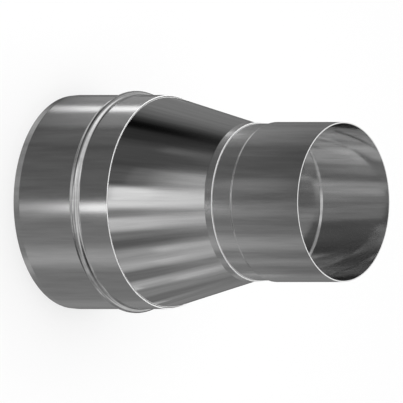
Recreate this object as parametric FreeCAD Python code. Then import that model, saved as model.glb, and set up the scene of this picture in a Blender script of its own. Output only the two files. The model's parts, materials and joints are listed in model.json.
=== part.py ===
import FreeCAD, Part
import math
import os
from FreeCAD import Vector

# Chimney adapter in single-wall stainless steel, standing on the rim of its wide end.
# Three rolled and welded shells are lapped into each other: a wide collar with a stop bead,
# a reducing cone between two short lips, and a narrow tube that opens into a socket.
# The axis is Z, and the origin is the centre of the wide rim.

# Sheet and its bends
SHEET = 1.0
CONE_BEND = 4.0
STEP_BEND = 0.6

# Wide collar: the spigot goes into a pipe as far as the bead
WIDE_DIAMETER = 180.0
SPIGOT_LENGTH = 57.9
LEAD_IN_LENGTH = 6.0
LEAD_IN_DEPTH = 0.5
LEAD_IN_BEND = 10.0
BEAD_WIDTH = 10.4
BEAD_HEIGHT = 3.4
BEAD_CREST_RADIUS = 3.6
BAND_LENGTH = 28.0

# Reducing cone: its wide lip is inside the collar, its narrow lip outside the tube
WIDE_LAP = 20.0
BEND_PAST_BAND = 1.0
CONE_LENGTH = 85.2
NARROW_LIP = 7.0

# Narrow tube: a neck, a small step, and the socket that takes the next pipe
NARROW_BORE = 130.0
NECK_LENGTH = 18.6
STEP_LENGTH = 2.2
SOCKET_DEPTH = 68.2
PIPE_CLEARANCE = 0.3

# Lengthwise welds, left proud only on faces that mate with nothing
WELD_WIDTH = 2.0
WELD_HEIGHT = 0.2

# Outside radii that follow from the mating pieces
collar_radius = WIDE_DIAMETER / 2
wide_lip_radius = collar_radius - SHEET
neck_radius = NARROW_BORE / 2 + SHEET
narrow_lip_radius = neck_radius + SHEET
socket_radius = neck_radius + PIPE_CLEARANCE + SHEET

# Heights above the wide rim
bead_start = SPIGOT_LENGTH
bead_end = bead_start + BEAD_WIDTH
band_end = bead_end + BAND_LENGTH
cone_start = band_end - BEND_PAST_BAND
cone_end = cone_start + CONE_LENGTH
lip_end = cone_end + NARROW_LIP
step_start = lip_end + NECK_LENGTH
socket_start = step_start + STEP_LENGTH
mouth = socket_start + SOCKET_DEPTH

AXIS_POINT = Vector(0, 0, 0)
UP = Vector(0, 0, 1)


def at(radius, height):
    """A point of a section, drawn in the plane through the axis."""
    return Vector(radius, 0, height)


def arc(start, centre, end):
    """The shorter arc from start to end round a centre."""
    middle = (start + end) * 0.5 - centre
    middle.normalize()
    return Part.Arc(start, centre + middle * start.distanceToPoint(centre), end).toShape()


def bent_line(corners):
    """Straight runs joined by tangent arcs. Each corner is a point and its radius."""
    edges = []
    start = corners[0][0]
    for (before, _), (point, radius), (after, _) in zip(corners, corners[1:], corners[2:]):
        back = (before - point).normalize()
        ahead = (after - point).normalize()
        half = back.getAngle(ahead) / 2
        reach = radius / math.tan(half)
        centre = point + (back + ahead).normalize() * (radius / math.sin(half))
        edges.append(Part.LineSegment(start, point + back * reach).toShape())
        edges.append(arc(point + back * reach, centre, point + ahead * reach))
        start = point + ahead * reach
    edges.append(Part.LineSegment(start, corners[-1][0]).toShape())
    return edges


def stop_bead():
    """The bead as three tangent arcs: a hollow foot, a round crest and a hollow foot."""
    half_width = BEAD_WIDTH / 2
    centre_distance = (half_width**2 + BEAD_HEIGHT**2) / (2 * BEAD_HEIGHT)
    foot_radius = centre_distance - BEAD_CREST_RADIUS
    crest = at(collar_radius + BEAD_HEIGHT - BEAD_CREST_RADIUS, bead_start + half_width)
    low_foot = at(collar_radius + foot_radius, bead_start)
    high_foot = at(collar_radius + foot_radius, bead_end)
    share = BEAD_CREST_RADIUS / centre_distance
    rise = crest + (low_foot - crest) * share
    fall = crest + (high_foot - crest) * share
    return [
        arc(at(collar_radius, bead_start), low_foot, rise),
        Part.Arc(rise, at(collar_radius + BEAD_HEIGHT, crest.z), fall).toShape(),
        arc(fall, high_foot, at(collar_radius, bead_end)),
    ]


def rolled(outline, depth):
    """A full turn of a band of sheet, from its outside line inward by depth."""
    section = outline.makeOffset2D(depth, fill=True, openResult=True)
    return section.revolve(AXIS_POINT, UP, 360)


def between(shape, low, high):
    """What lies between two heights, so that both ends are cut square to the axis."""
    reach = 2 * WIDE_DIAMETER
    return shape.common(Part.makeCylinder(reach, high - low, at(0, low)))


def with_weld(shell, outline, low, high):
    """Adds the lengthwise weld, proud of the outside at the back between two heights."""
    skin = rolled(outline, -WELD_HEIGHT)
    strip = Part.makeBox(WELD_WIDTH, WIDE_DIAMETER, high - low, Vector(-WELD_WIDTH / 2, 0, low))
    return shell.fuse(skin.common(strip)).removeSplitter()


def wide_collar():
    """Spigot with a drawn-in rim, stop bead, and the band that holds the cone."""
    rim = at(collar_radius - LEAD_IN_DEPTH, 0)
    shoulder = at(collar_radius, LEAD_IN_LENGTH)
    below_rim = rim + (rim - shoulder).normalize() * SHEET
    outline = Part.Wire(
        bent_line([(below_rim, 0), (shoulder, LEAD_IN_BEND), (at(collar_radius, bead_start), 0)])
        + stop_bead()
        + [Part.LineSegment(at(collar_radius, bead_end), at(collar_radius, band_end)).toShape()]
    )
    shell = between(rolled(outline, SHEET), 0, band_end)
    return with_weld(shell, outline, bead_end, band_end)


def reducing_cone():
    """Cone between a wide lip inside the collar and a narrow lip round the tube."""
    outline = Part.Wire(
        bent_line([
            (at(wide_lip_radius, cone_start - WIDE_LAP), 0),
            (at(wide_lip_radius, cone_start), CONE_BEND + SHEET),
            (at(narrow_lip_radius, cone_end), CONE_BEND),
            (at(narrow_lip_radius, lip_end), 0),
        ])
    )
    return with_weld(rolled(outline, SHEET), outline, band_end, lip_end)


def socket_tube():
    """Neck that is lapped into the cone, opened over a small step into a socket."""
    outline = Part.Wire(
        bent_line([
            (at(neck_radius, cone_end), 0),
            (at(neck_radius, step_start), STEP_BEND),
            (at(socket_radius, socket_start), STEP_BEND + SHEET),
            (at(socket_radius, mouth), 0),
        ])
    )
    return with_weld(rolled(outline, SHEET), outline, lip_end, mouth)


os.makedirs("parts", exist_ok=True)
for make in (wide_collar, reducing_cone, socket_tube):
    make().exportStep(f"parts/{make.__name__}.step")
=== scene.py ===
"""Studio picture of a stainless chimney adapter that stands on its wide rim.

Metres, +Z up the flue axis. Each rolled shell of the frame is stood for by a finer one,
turned from the same section, with rounded cut edges and a lengthwise weld at the back.
"""
import json
import math

import bpy
from mathutils import Matrix, Vector


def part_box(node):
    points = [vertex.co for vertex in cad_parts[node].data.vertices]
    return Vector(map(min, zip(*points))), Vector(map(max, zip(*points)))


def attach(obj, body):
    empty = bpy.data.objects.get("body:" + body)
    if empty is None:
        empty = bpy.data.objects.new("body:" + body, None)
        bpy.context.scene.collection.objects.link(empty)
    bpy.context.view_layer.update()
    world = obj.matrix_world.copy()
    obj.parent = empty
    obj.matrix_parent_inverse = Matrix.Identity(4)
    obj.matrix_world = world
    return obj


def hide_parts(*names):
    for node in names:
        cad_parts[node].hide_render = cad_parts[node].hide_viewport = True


MM = 0.001
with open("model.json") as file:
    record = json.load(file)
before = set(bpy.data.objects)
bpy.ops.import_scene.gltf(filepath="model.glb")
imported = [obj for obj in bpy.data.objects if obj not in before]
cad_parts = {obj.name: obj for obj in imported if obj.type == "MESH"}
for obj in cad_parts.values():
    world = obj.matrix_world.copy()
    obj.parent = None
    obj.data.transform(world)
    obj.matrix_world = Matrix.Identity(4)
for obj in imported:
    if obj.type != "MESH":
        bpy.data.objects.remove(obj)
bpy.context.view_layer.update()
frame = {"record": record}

# The picture: an isometric view with no perspective, turned so that the axis lies across it
PICTURE_SIDE = 403
PIXELS_PER_METRE = 1189.6
MIDDLE_ABOVE_RIM = 130.3 * MM
MIDDLE_BESIDE_AXIS = -0.42 * MM
CAMERA_DISTANCE = 1.5
TOWARDS_CAMERA = Vector((0, -math.sqrt(2 / 3), math.sqrt(1 / 3)))

# Sheet, its bends and its cut edges
SHEET = 1.0 * MM
CONE_BEND = 4.0 * MM
STEP_BEND = 0.6 * MM
EDGE_ROUND = 0.05 * MM

# Lengths along the axis
SPIGOT_LENGTH = 57.9 * MM
LEAD_IN_LENGTH = 6.0 * MM
LEAD_IN_DEPTH = 0.5 * MM
LEAD_IN_BEND = 10.0 * MM
BEAD_WIDTH = 10.4 * MM
BEAD_HEIGHT = 3.4 * MM
BEAD_CREST_RADIUS = 3.6 * MM
WIDE_LAP = 20.0 * MM
NARROW_LIP = 7.0 * MM
STEP_LENGTH = 2.2 * MM
SOCKET_DEPTH = 68.2 * MM
PIPE_CLEARANCE = 0.3 * MM

# Lengthwise welds at the back
WELD_WIDTH = 2.0 * MM
WELD_HEIGHT = 0.2 * MM
WELD_ROOT = 0.1 * MM
WELD_SIDES = 8

# How finely the shells are turned
TURNS = 320
ARC_STEP = math.radians(8)
ROUND_STEPS = 3

# Finishes of a shell, in the order of its material slots
OUTSIDE, INSIDE, CUT_EDGE, WELD = range(4)

# Heights and radii that the frame gives
mount_radius = {m["name"]: m["dims"].get("r_mm", 0) * MM for m in frame["record"]["mounts"]}
collar_radius = mount_radius["wide_spigot"]
socket_radius = mount_radius["narrow_socket"] + SHEET
neck_radius = socket_radius - SHEET - PIPE_CLEARANCE
wide_lip_radius = collar_radius - SHEET
narrow_lip_radius = neck_radius + SHEET
bead_end = SPIGOT_LENGTH + BEAD_WIDTH
band_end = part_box("wide_collar")[1].z
cone_foot, lip_end = (corner.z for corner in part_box("reducing_cone"))
cone_start = cone_foot + WIDE_LAP
cone_end = lip_end - NARROW_LIP
tube_foot, mouth = (corner.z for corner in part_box("socket_tube"))
socket_start = mouth - SOCKET_DEPTH
step_start = socket_start - STEP_LENGTH


def camera():
    """The view of the photograph."""
    data = bpy.data.cameras.new("camera")
    data.type = "ORTHO"
    data.ortho_scale = PICTURE_SIDE / PIXELS_PER_METRE
    view = bpy.data.objects.new("camera", data)
    right = Vector((0, TOWARDS_CAMERA.z, -TOWARDS_CAMERA.y))
    up = Vector((-1, 0, 0))
    turn = Matrix((right, up, TOWARDS_CAMERA)).transposed().to_4x4()
    middle = Vector((MIDDLE_BESIDE_AXIS, 0, MIDDLE_ABOVE_RIM))
    view.matrix_world = Matrix.Translation(middle + TOWARDS_CAMERA * CAMERA_DISTANCE) @ turn
    bpy.context.scene.collection.objects.link(view)
    bpy.context.scene.camera = view


def left_of(direction):
    """A direction in a section, turned a quarter towards the axis."""
    return Vector((-direction.y, direction.x))


def turned(spoke, angle):
    """A vector in a section, turned by an angle."""
    return spoke * math.cos(angle) + left_of(spoke) * math.sin(angle)


def arc(start, heading, radius, turn):
    """Points and outward normals of an arc. A positive turn leans towards the axis."""
    side = 1 if turn > 0 else -1
    centre = start + left_of(heading) * radius * side
    steps = math.ceil(abs(turn) / ARC_STEP)
    spokes = [turned(start - centre, turn * step / steps) for step in range(steps + 1)]
    return [(centre + spoke, spoke.normalized() * side) for spoke in spokes]


def bent_line(corners):
    """Straight runs joined by tangent arcs. A corner is a radius, a height and a bend."""
    places = [Vector(corner[:2]) for corner in corners]
    headings = [(b - a).normalized() for a, b in zip(places, places[1:])]
    line = [(places[0], -left_of(headings[0]))]
    for place, corner, before, after in zip(places[1:], corners[1:], headings, headings[1:]):
        turn = math.atan2(before.x * after.y - before.y * after.x, before.dot(after))
        reach = corner[2] * math.tan(abs(turn) / 2)
        line += arc(place - before * reach, before, corner[2], turn)
    line.append((places[-1], -left_of(headings[-1])))
    return line


def stop_bead():
    """The bead as three tangent arcs: a hollow foot, a round crest and a hollow foot."""
    centre_distance = ((BEAD_WIDTH / 2) ** 2 + BEAD_HEIGHT**2) / (2 * BEAD_HEIGHT)
    foot_radius = centre_distance - BEAD_CREST_RADIUS
    flank = math.acos(1 - BEAD_HEIGHT / centre_distance)
    bead = arc(Vector((collar_radius, SPIGOT_LENGTH)), Vector((0, 1)), foot_radius, -flank)
    for radius, turn in ((BEAD_CREST_RADIUS, 2 * flank), (foot_radius, -flank)):
        place, normal = bead[-1]
        bead += arc(place, left_of(normal), radius, turn)
    return bead


def edge_round(corner, first, second):
    """A small quarter round at a cut edge, from one outward normal to the next."""
    centre = corner - (first + second) * EDGE_ROUND
    angles = [math.pi / 2 * step / ROUND_STEPS for step in range(ROUND_STEPS + 1)]
    normals = [first * math.cos(angle) + second * math.sin(angle) for angle in angles]
    return [(centre + normal * EDGE_ROUND, normal) for normal in normals]


def sheet_section(line):
    """The closed section of a sheet from its outside line: place, normal and finish."""
    (low, low_normal), (high, high_normal) = line[0], line[-1]
    down, up = -left_of(low_normal), left_of(high_normal)
    inner = [(place - normal * SHEET, -normal) for place, normal in reversed(line[1:-1])]
    outside = edge_round(low, down, low_normal)[-1:] + line[1:-1]
    section = [(*point, OUTSIDE) for point in outside]
    top = edge_round(high, high_normal, up)
    top += edge_round(high - high_normal * SHEET, up, -high_normal)
    section += [(*point, CUT_EDGE) for point in top[:-1]]
    section += [(*point, INSIDE) for point in top[-1:] + inner]
    foot = edge_round(low - low_normal * SHEET, -low_normal, down)
    foot += edge_round(low, down, low_normal)
    section += [(*point, CUT_EDGE) for point in foot[:-1]]
    return section


def full_turn(section, mesh):
    """Adds a section's full turn about the axis to lists of corners, normals and faces."""
    corners, normals, faces, finishes = mesh
    first, count = len(corners), len(section)
    for step in range(TURNS):
        angle = math.tau * step / TURNS
        side, back = math.cos(angle), math.sin(angle)
        corners += [(p.x * side, p.x * back, p.y) for p, _, _ in section]
        normals += [(n.x * side, n.x * back, n.y) for _, n, _ in section]
    for step in range(TURNS):
        here, ahead = first + step * count, first + (step + 1) % TURNS * count
        for point in range(count):
            after = (point + 1) % count
            faces.append((here + point, ahead + point, ahead + after, here + after))
            finishes.append(section[point][2])


def weld(line, low, high, mesh):
    """Adds the lengthwise weld along an outside line at the back, between two heights.

    Across the weld, the rise is a parabola and the lean is its slope.
    """
    corners, normals, faces, finishes = mesh
    ends = []
    for (a, normal), (b, _) in zip(line, line[1:]):
        for height in (low, high):
            if a.y < height < b.y:
                ends.append((a.lerp(b, (height - a.y) / (b.y - a.y)), normal))
    stations = sorted(
        [point for point in line if low <= point[0].y <= high] + ends,
        key=lambda point: point[0].y,
    )
    first, count = len(corners), WELD_SIDES + 1
    for place, normal in stations:
        for side in range(count):
            across = 2 * side / WELD_SIDES - 1
            rise = (WELD_HEIGHT + WELD_ROOT) * (1 - across**2) - WELD_ROOT
            top = place + normal * rise
            angle = math.pi / 2 - across * WELD_WIDTH / 2 / place.x
            lean = 4 * (WELD_HEIGHT + WELD_ROOT) / WELD_WIDTH * across
            out = Vector((math.cos(angle), math.sin(angle), 0))
            along = Vector((math.sin(angle), -math.cos(angle), 0))
            corners.append((top.x * out.x, top.x * out.y, top.y))
            slope = out * normal.x + Vector((0, 0, normal.y)) + along * lean
            normals.append(tuple(slope.normalized()))
    for station in range(len(stations) - 1):
        here = first + station * count
        for side in range(count):
            after = (side + 1) % count
            faces.append((here + side, here + count + side, here + count + after, here + after))
            finishes.append(WELD)
    last = first + (len(stations) - 1) * count
    faces += [tuple(range(first, first + count)), tuple(range(last + count - 1, last - 1, -1))]
    finishes += [WELD, WELD]


def shell(node, line, weld_low, weld_high, finishes):
    """One rolled and welded shell, which stands for a node of the frame."""
    mesh = ([], [], [], [])
    full_turn(sheet_section(line), mesh)
    weld(line, weld_low, weld_high, mesh)
    corners, normals, faces, face_finishes = mesh
    data = bpy.data.meshes.new(node + "_sheet")
    data.from_pydata(corners, [], faces)
    data.polygons.foreach_set("material_index", face_finishes)
    data.polygons.foreach_set("use_smooth", [True] * len(faces))
    data.normals_split_custom_set_from_vertices(normals)
    for finish in finishes:
        data.materials.append(finish)
    piece = bpy.data.objects.new(node + "_sheet", data)
    bpy.context.scene.collection.objects.link(piece)
    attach(piece, "root")
    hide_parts(node)


def collar_line():
    """Outside of the collar: drawn-in rim, spigot, stop bead and band."""
    entry = [
        (collar_radius - LEAD_IN_DEPTH, 0),
        (collar_radius, LEAD_IN_LENGTH, LEAD_IN_BEND),
        (collar_radius, SPIGOT_LENGTH),
    ]
    band = (Vector((collar_radius, band_end)), Vector((1, 0)))
    return bent_line(entry)[:-1] + stop_bead() + [band]


def cone_line():
    """Outside of the cone and of its two short lips."""
    return bent_line([
        (wide_lip_radius, cone_foot),
        (wide_lip_radius, cone_start, CONE_BEND + SHEET),
        (narrow_lip_radius, cone_end, CONE_BEND),
        (narrow_lip_radius, lip_end),
    ])


def tube_line():
    """Outside of the neck, the small step and the socket."""
    return bent_line([
        (neck_radius, tube_foot),
        (neck_radius, step_start, STEP_BEND),
        (socket_radius, socket_start, STEP_BEND + SHEET),
        (socket_radius, mouth),
    ])


class Value:
    """A socket of a node tree that takes part in ordinary arithmetic."""

    def __init__(self, shader, socket):
        self.shader = shader
        self.socket = socket

    def maths(self, operation, *values):
        return self.shader.node("ShaderNodeMath", {"operation": operation}, values)

    def __add__(self, other):
        return self.maths("ADD", self, other)

    def __sub__(self, other):
        return self.maths("SUBTRACT", self, other)

    def __rsub__(self, other):
        return self.maths("SUBTRACT", other, self)

    def __mul__(self, other):
        return self.maths("MULTIPLY", self, other)

    def __truediv__(self, other):
        return self.maths("DIVIDE", self, other)

    def __rtruediv__(self, other):
        return self.maths("DIVIDE", other, self)

    def __pow__(self, other):
        return self.maths("POWER", self, other)

    def __rpow__(self, other):
        return self.maths("POWER", other, self)

    __radd__ = __add__
    __rmul__ = __mul__


class Shader:
    """The node tree of a material or of the world."""

    def __init__(self, owner):
        owner.use_nodes = True
        self.tree = owner.node_tree
        self.tree.nodes.clear()

    def node(self, kind, settings=None, values=(), output=0):
        """A node with its settings, then its inputs by place or by name. Gives one output."""
        node = self.tree.nodes.new(kind)
        for name, setting in (settings or {}).items():
            setattr(node, name, setting)
        pairs = values.items() if isinstance(values, dict) else enumerate(values)
        for key, value in pairs:
            if isinstance(value, Value):
                self.tree.links.new(value.socket, node.inputs[key])
            else:
                node.inputs[key].default_value = value
        return Value(self, node.outputs[output]) if node.outputs else None

    def smooth(self, value, low, high, bottom=0.0, top=1.0):
        """A smooth step of a value, from bottom at low to top at high."""
        settings = {"interpolation_type": "SMOOTHSTEP"}
        return self.node("ShaderNodeMapRange", settings, (value, low, high, bottom, top))

    def parts(self, vector):
        """The three numbers of a vector."""
        first = self.node("ShaderNodeSeparateXYZ", None, (vector,))
        outputs = first.socket.node.outputs
        return [Value(self, outputs[axis]) for axis in range(3)]

    def vector(self, x, y, z):
        return self.node("ShaderNodeCombineXYZ", None, (x, y, z))

    def noise(self, place, scale, detail, roughness=0.5):
        """Smooth noise from 0 to 1."""
        names = {"Vector": place, "Scale": scale, "Detail": detail, "Roughness": roughness}
        return self.node("ShaderNodeTexNoise", None, names)

    def grey(self, level):
        """A neutral colour of a varying level."""
        return self.node("ShaderNodeCombineColor", None, (level, level, level))


# Streaks left by the rolls run along the axis, over slightly uneven flats
GRAIN_WIDTH = 1.2 * MM
FLAT_WIDTH = 11.0 * MM
STREAK_LENGTH = 60.0 * MM
FLAT_DEPTH = 0.012 * MM
GRAIN_DEPTH = 0.0002 * MM
NOISE_ROUGHNESS = 0.6
CLOUDS_PER_METRE = 30.0

# Noise goes from 0 to 1 round a middle level, and mostly stays between a low and a high one
NOISE_LOW, NOISE_MIDDLE, NOISE_HIGH = 0.3, 0.5, 0.7

# How much of the tone comes from the fine grain, and how uneven streaks and clouds make
# the roughness
GRAIN_SHARE = 0.25
STREAK_UNEVENNESS = 0.3
CLOUD_UNEVENNESS = 0.2

# Which output of a place node is wanted: a point of the object, or a direction of the world
OBJECT_PLACE = 3
WORLD_DIRECTION = 0


def steel(
    name, levels, roughness, heights, streak_tone, streak_width=4 * MM, brushed=0.0, metal=1.0
):
    """Rolled stainless sheet. Its level and roughness change between two heights."""
    material = bpy.data.materials.new(name)
    shader = Shader(material)
    place = shader.node("ShaderNodeTexCoord", None, (), output=OBJECT_PLACE)
    x, y, z = shader.parts(place)
    radius = (x * x + y * y) ** 0.5

    def streaks(width, detail):
        """Noise that is narrow round the axis and long along it."""
        size = collar_radius / width
        along = shader.vector(x / radius * size, y / radius * size, z / STREAK_LENGTH)
        return shader.noise(along, 1.0, detail, NOISE_ROUGHNESS)

    broad = streaks(streak_width, detail=2.0)
    grain = streaks(GRAIN_WIDTH, detail=1.0)
    flats = streaks(FLAT_WIDTH, detail=1.0)
    clouds = shader.noise(place, CLOUDS_PER_METRE, 4.0, NOISE_ROUGHNESS)
    both = (1 - GRAIN_SHARE) * broad + GRAIN_SHARE * grain
    tone = shader.smooth(both, NOISE_LOW, NOISE_HIGH, 1 - streak_tone, 1 + streak_tone)
    uneven = STREAK_UNEVENNESS * (broad - NOISE_MIDDLE) + CLOUD_UNEVENNESS * (clouds - NOISE_MIDDLE)
    rough = shader.smooth(z, *heights, *roughness) * (1 + uneven)
    wavy = {"Strength": 1.0, "Distance": FLAT_DEPTH, "Height": flats}
    bumps = {"Strength": 1.0, "Distance": GRAIN_DEPTH, "Height": grain}
    bumps["Normal"] = shader.node("ShaderNodeBump", None, wavy)
    surface = shader.node(
        "ShaderNodeBsdfPrincipled",
        None,
        {
            "Base Color": shader.grey(shader.smooth(z, *heights, *levels) * tone),
            "Metallic": metal,
            "Roughness": rough,
            "Anisotropic": brushed,
            "Normal": shader.node("ShaderNodeBump", None, bumps),
        },
    )
    shader.node("ShaderNodeOutputMaterial", None, (surface,))
    return material


EDGE_ROUGHNESS = 0.8


def sheared(name, level):
    """A sheared edge: one matt grey, with a roughness that is a little uneven."""
    material = bpy.data.materials.new(name)
    shader = Shader(material)
    place = shader.node("ShaderNodeTexCoord", None, (), output=OBJECT_PLACE)
    clouds = shader.noise(place, CLOUDS_PER_METRE, 4.0, NOISE_ROUGHNESS)
    rough = EDGE_ROUGHNESS * (1 + CLOUD_UNEVENNESS * (clouds - NOISE_MIDDLE))
    surface = shader.node(
        "ShaderNodeBsdfPrincipled",
        None,
        {"Base Color": (level, level, level, 1), "Roughness": rough},
    )
    shader.node("ShaderNodeOutputMaterial", None, (surface,))
    return material


# Azimuths are in degrees from the camera's side, and positive towards the top of the picture.

# Upright strip lights that face the axis: azimuth, then distance from the axis, lower end,
# upper end and width in millimetres, then strength. The camera looks down on the upright
# walls, which mirror what lies below the floor, so their strips hang there.
STRIPS = (
    ("front_low", -5.5, 480, -300, -246, 66, 0.28),
    ("front_middle", -5.5, 480, -246, -212, 66, 0.46),
    ("front_high", -5.5, 480, -212, -130, 66, 1.35),
    ("side_low", 111.5, 480, -300, -271, 84, 0.72),
    ("side_middle", 111.5, 480, -271, -239, 84, 0.98),
    ("side_high", 111.5, 480, -239, -130, 84, 1.2),
    ("far_first", 73, 1500, -1028, -730, 560, 0.09),
    ("far_second", 98, 1500, -1026, -860, 640, 0.23),
    ("far_third", 122, 1500, -1030, -860, 640, 0.25),
    ("far_fourth", 145, 1500, -1034, -860, 560, 0.22),
    ("far_fifth", 100, 1500, -850, -730, 620, 0.2),
    ("far_sixth", 124, 1500, -850, -730, 620, 0.23),
    ("far_seventh", 146, 1500, -850, -730, 560, 0.14),
    ("tube_first", -126, 480, -130, -85, 50, 0.28),
    ("tube_mouth", -126, 480, -85, -20, 50, 0.1),
    ("tube_second", -91, 480, -130, -20, 70, 0.23),
    ("tube_third", -14, 480, -110, -20, 70, 0.14),
    ("tube_fourth", 22, 480, -110, -20, 150, 0.15),
    ("cone_front", 8, 480, 56, 92, 100, 0.2),
    ("cone_low", 26, 496, 62, 84, 150, 0.06),
    ("cone_middle", 26, 496, 84, 104, 155, 0.17),
    ("cone_high", 26, 496, 104, 300, 145, 0.39),
    ("cone_side", 58, 480, 64, 130, 60, 0.1),
    ("cone_first", -52, 480, 64, 130, 50, 0.26),
    ("cone_second", -94, 480, 12, 60, 40, 0.28),
    ("cone_top", -57, 480, 116, 300, 190, 0.15),
    ("cone_third", -68, 480, 45, 100, 80, 0.11),
)

# Panels that two rings share
LOW_PANELS = (
    (-62, 3, 12, 0.27),
    (-85, 64, 22, 0.12),
    (-150, 8, 14, 0.1),
    (-9, 7, 8, 0.13),
)

# The dim room in rings, from straight below to overhead. A ring starts between two heights
# of the direction, with a level of its own and its soft panels: azimuth, half width and soft
# edge in degrees, and strength. A negative strength is a dark screen.
RINGS = (
    (-1.10, -1.05, 1.0, ()),
    (-0.985, -0.94, 0.095, (
        (25, 20, 12, 0.36),
        (60, 18, 15, 0.12),
        (92, 15, 15, 0.05),
        (131, 15, 12, 0.33),
        (160, 10, 12, 0.2),
        (-151, 21, 22, 0.155),
    )),
    (-0.875, -0.845, 0.055, (
        (24, 24, 8, 0.38),
        (76, 20, 14, 0.34),
        (126, 36, 12, 0.7),
        (168, 17, 8, 0.36),
    )),
    (-0.82, -0.775, 0.34, (
        (-138, 18, 8, -0.12),
        (-100, 52, 10, -0.14),
        (-72, 12, 12, 0.04),
        (-55, 5, 6, 0.12),
        (-38, 10, 8, -0.08),
        (18, 20, 10, 0.34),
        (100, 52, 20, 0.4),
        (170, 20, 8, 0.34),
    )),
    (-0.73, -0.69, 0.28, (
        (-78, 9, 8, 0.3),
        (3, 16, 12, -0.08),
        (120, 36, 14, 0.35),
    )),
    (-0.66, -0.61, 0.15, (*LOW_PANELS, (108, 46, 12, -0.1))),
    (-0.57, -0.53, 0.15, (*LOW_PANELS, (140, 18, 14, 0.11))),
    (-0.50, -0.36, 0.045, (
        (5, 10, 4, 0.92),
        (-12, 9, 5, 0.3),
        (-23.5, 5, 4, 0.63),
        (-33, 4, 5, 0.08),
        (-44, 5, 4, -0.05),
        (28, 8, 5, 0.1),
        (53, 12, 6, 0.06),
        (88, 3, 5, -0.04),
        (107, 6, 5, 0.06),
        (-56, 4, 5, 0.27),
        (-69, 4, 5, 0.42),
        (-84, 54, 10, 0.18),
        (-97, 4, 5, 0.36),
        (-111, 4, 5, 0.13),
        (-145, 6, 5, 0.11),
        (145, 30, 18, 0.24),
    )),
    (-0.06, 0.04, 0.36, (
        (-165, 25, 20, 0.45),
        (0, 9, 8, 0.6),
        (150, 20, 20, 0.3),
        (75, 40, 20, -0.1),
    )),
    (0.20, 0.30, 0.42, (
        (178, 24, 14, 0.4),
        (-132, 14, 10, 0.45),
        (25, 9, 7, 0.7),
        (80, 25, 15, 0.05),
        (-12, 10, 8, -0.15),
    )),
    (0.50, 0.60, 0.95, (
        (-101, 42, 13, -0.68),
        (118, 20, 12, 0.55),
        (180, 28, 14, 0.55),
    )),
    (0.78, 0.82, 0.9, (
        (-99, 40, 10, -0.86),
    )),
    (0.93, 0.98, 0.75, ()),
)

# Flat lights just below the floor, for the bead's foot and the small step: place of the
# middle, width and depth in millimetres, and strength
FLOOR_PANELS = (
    ("panel_beside", 207, -95, 185, 310, 0.19),
    ("panel_before", -10, -225, 240, 190, 0.14),
)

# Soft folds, as of hung cloth, make every ring a little uneven
FOLD_SCALE = 6.0
FOLD_HEIGHT = 0.2
FOLD_UNEVENNESS = 0.4


def studio_world():
    """A soft dome over a darker room with tall soft panels."""
    world = bpy.data.worlds.new("studio")
    bpy.context.scene.world = world
    shader = Shader(world)
    direction = shader.node("ShaderNodeTexCoord", None, (), output=WORLD_DIRECTION)
    x, y, z = shader.parts(direction)
    level_part = (x * x + y * y) ** 0.5
    front, over = y * -1 / level_part, x * -1 / level_part
    folds = shader.noise(shader.vector(front, over, z * FOLD_HEIGHT), FOLD_SCALE, 3.0)
    uneven = 1 + FOLD_UNEVENNESS * (folds - NOISE_MIDDLE)

    def panel(azimuth, half_width, edge, strength):
        """A tall panel at an angle from the camera's side, turned up the picture."""
        centre = math.radians(azimuth)
        facing = front * math.cos(centre) + over * math.sin(centre)
        outer = math.cos(math.radians(half_width + edge))
        inner = math.cos(math.radians(max(half_width - edge, 0)))
        return shader.smooth(facing, outer, inner, 0.0, strength)

    light = 0.0
    for low, high, level, panels in RINGS:
        ring = sum((panel(*shape) for shape in panels), level) * uneven
        light = light + (ring - light) * shader.smooth(z, low, high)
    background = shader.node("ShaderNodeBackground", None, (shader.grey(light), 1.0))
    shader.node("ShaderNodeOutputWorld", None, (background,))


# An area light with this energy on a square metre shows as plain white
WHITE_ENERGY = 4
PANEL_DEPTH = 10 * MM
PANEL_SPREAD = math.radians(100)


def area_light(name, width, depth, strength):
    """A rectangular light that the camera doesn't see. A strength of 1 is plain white."""
    lamp = bpy.data.lights.new(name, "AREA")
    lamp.shape = "RECTANGLE"
    lamp.size, lamp.size_y = width, depth
    lamp.energy = strength * WHITE_ENERGY * width * depth
    light = bpy.data.objects.new(name, lamp)
    light.visible_camera = False
    bpy.context.scene.collection.objects.link(light)
    return light


def strip(name, azimuth, distance, low, high, width, strength):
    """A strip light that stands upright and faces the axis."""
    light = area_light(name, width, high - low, strength)
    turn = math.radians(azimuth)
    out = Vector((-math.sin(turn), -math.cos(turn), 0))
    across = Vector((-out.y, out.x, 0))
    facing = Matrix((across, Vector((0, 0, 1)), out)).transposed().to_4x4()
    place = out * distance + Vector((0, 0, (low + high) / 2))
    light.matrix_world = Matrix.Translation(place) @ facing


def floor_panel(name, x, y, width, depth, strength):
    """A flat light just below the floor that shines steeply upwards."""
    light = area_light(name, width, depth, strength)
    light.data.spread = PANEL_SPREAD
    light.location = (x, y, -PANEL_DEPTH)
    light.rotation_euler = (math.pi, 0, 0)


def top_light(height, side, strength):
    """A broad light overhead, for the matt cut edges. The polished sheet doesn't mirror it."""
    light = area_light("top_light", side, side, strength)
    light.location.z = height
    light.visible_glossy = False


# The floor: how far it reaches each way, and how little it lies below the rim
FLOOR_REACH = 4.0
FLOOR_GAP = 0.05 * MM
FLOOR_LEVEL = 0.25
FLOOR_GLOW = 0.68


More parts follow.
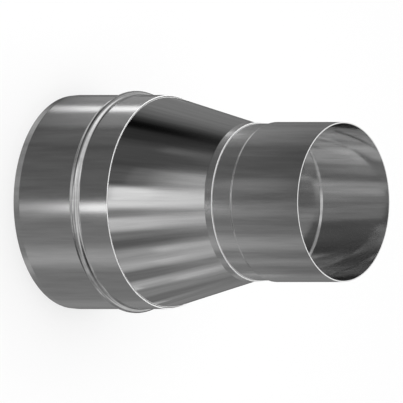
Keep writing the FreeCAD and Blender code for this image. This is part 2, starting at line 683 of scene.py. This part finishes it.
def floor():
    """A plain pale floor that keeps a soft shadow and lets the light from below pass."""
    ends = ((-1, -1), (1, -1), (1, 1), (-1, 1))
    corners = [(x * FLOOR_REACH, y * FLOOR_REACH, 0) for x, y in ends]
    data = bpy.data.meshes.new("floor")
    data.from_pydata(corners, [], [(0, 1, 2, 3)])
    material = bpy.data.materials.new("floor_paint")
    shader = Shader(material)
    surface = shader.node(
        "ShaderNodeBsdfPrincipled",
        None,
        {
            "Base Color": (FLOOR_LEVEL, FLOOR_LEVEL, FLOOR_LEVEL, 1),
            "Roughness": 1.0,
            "Emission Color": (1, 1, 1, 1),
            "Emission Strength": FLOOR_GLOW,
        },
    )
    shader.node("ShaderNodeOutputMaterial", None, (surface,))
    data.materials.append(material)
    ground = bpy.data.objects.new("floor", data)
    ground.location.z = -FLOOR_GAP
    bpy.context.scene.collection.objects.link(ground)
    ground.visible_glossy = False
    ground.visible_shadow = False


bpy.context.scene.view_settings.view_transform = "Standard"
camera()

bright = steel(
    "bright_sheet",
    levels=(0.55, 0.55),
    roughness=(0.18, 0.16),
    heights=(0, SPIGOT_LENGTH),
    brushed=0.6,
    streak_width=6 * MM,
    streak_tone=0.07,
)
polished = steel(
    "polished_sheet",
    levels=(0.55, 0.55),
    roughness=(0.07, 0.2),
    heights=(band_end, lip_end),
    brushed=0.5,
    streak_tone=0.08,
)
# The tube is the same steel as the other shells, with painted shade: its colour grows darker
# towards the mouth
shaded_tube = steel(
    "tube_sheet_painted_darker",
    levels=(0.54, 0.43),
    roughness=(0.2, 0.2),
    heights=(tube_foot, mouth),
    brushed=0.6,
    streak_width=6 * MM,
    streak_tone=0.08,
)

# The lining is a little matt, so that light still shows after many bounces. Its colour is also
# painted lighter than the outside's: painted light for what the bounces lose
lighter_lining = steel(
    "lining_painted_lighter",
    levels=(0.74, 0.74),
    roughness=(0.1, 0.1),
    heights=(0, mouth),
    brushed=0.5,
    streak_width=5 * MM,
    streak_tone=0.1,
    metal=0.98,
)

# The weld is a dull line
seam = steel(
    "weld_seam",
    levels=(0.5, 0.5),
    roughness=(0.3, 0.3),
    heights=(0, mouth),
    streak_tone=0.1,
)

# Sheared edges are matt and pale. The socket's rim is a darker copy of the same edge, with painted
# shade that keeps it from showing as bright as the others
cut = sheared("sheared_edge", level=0.9)
rim = sheared("socket_rim_painted_darker", level=0.5)

shell("wide_collar", collar_line(), bead_end, band_end, (bright, lighter_lining, cut, seam))
shell("reducing_cone", cone_line(), band_end, lip_end, (polished, lighter_lining, cut, seam))
shell("socket_tube", tube_line(), lip_end, mouth, (shaded_tube, lighter_lining, rim, seam))

studio_world()
for name, azimuth, distance, low, high, width, strength in STRIPS:
    strip(name, azimuth, distance * MM, low * MM, high * MM, width * MM, strength)
for name, x, y, width, depth, strength in FLOOR_PANELS:
    floor_panel(name, x * MM, y * MM, width * MM, depth * MM, strength)
top_light(height=1.2, side=1.0, strength=2.5)
floor()
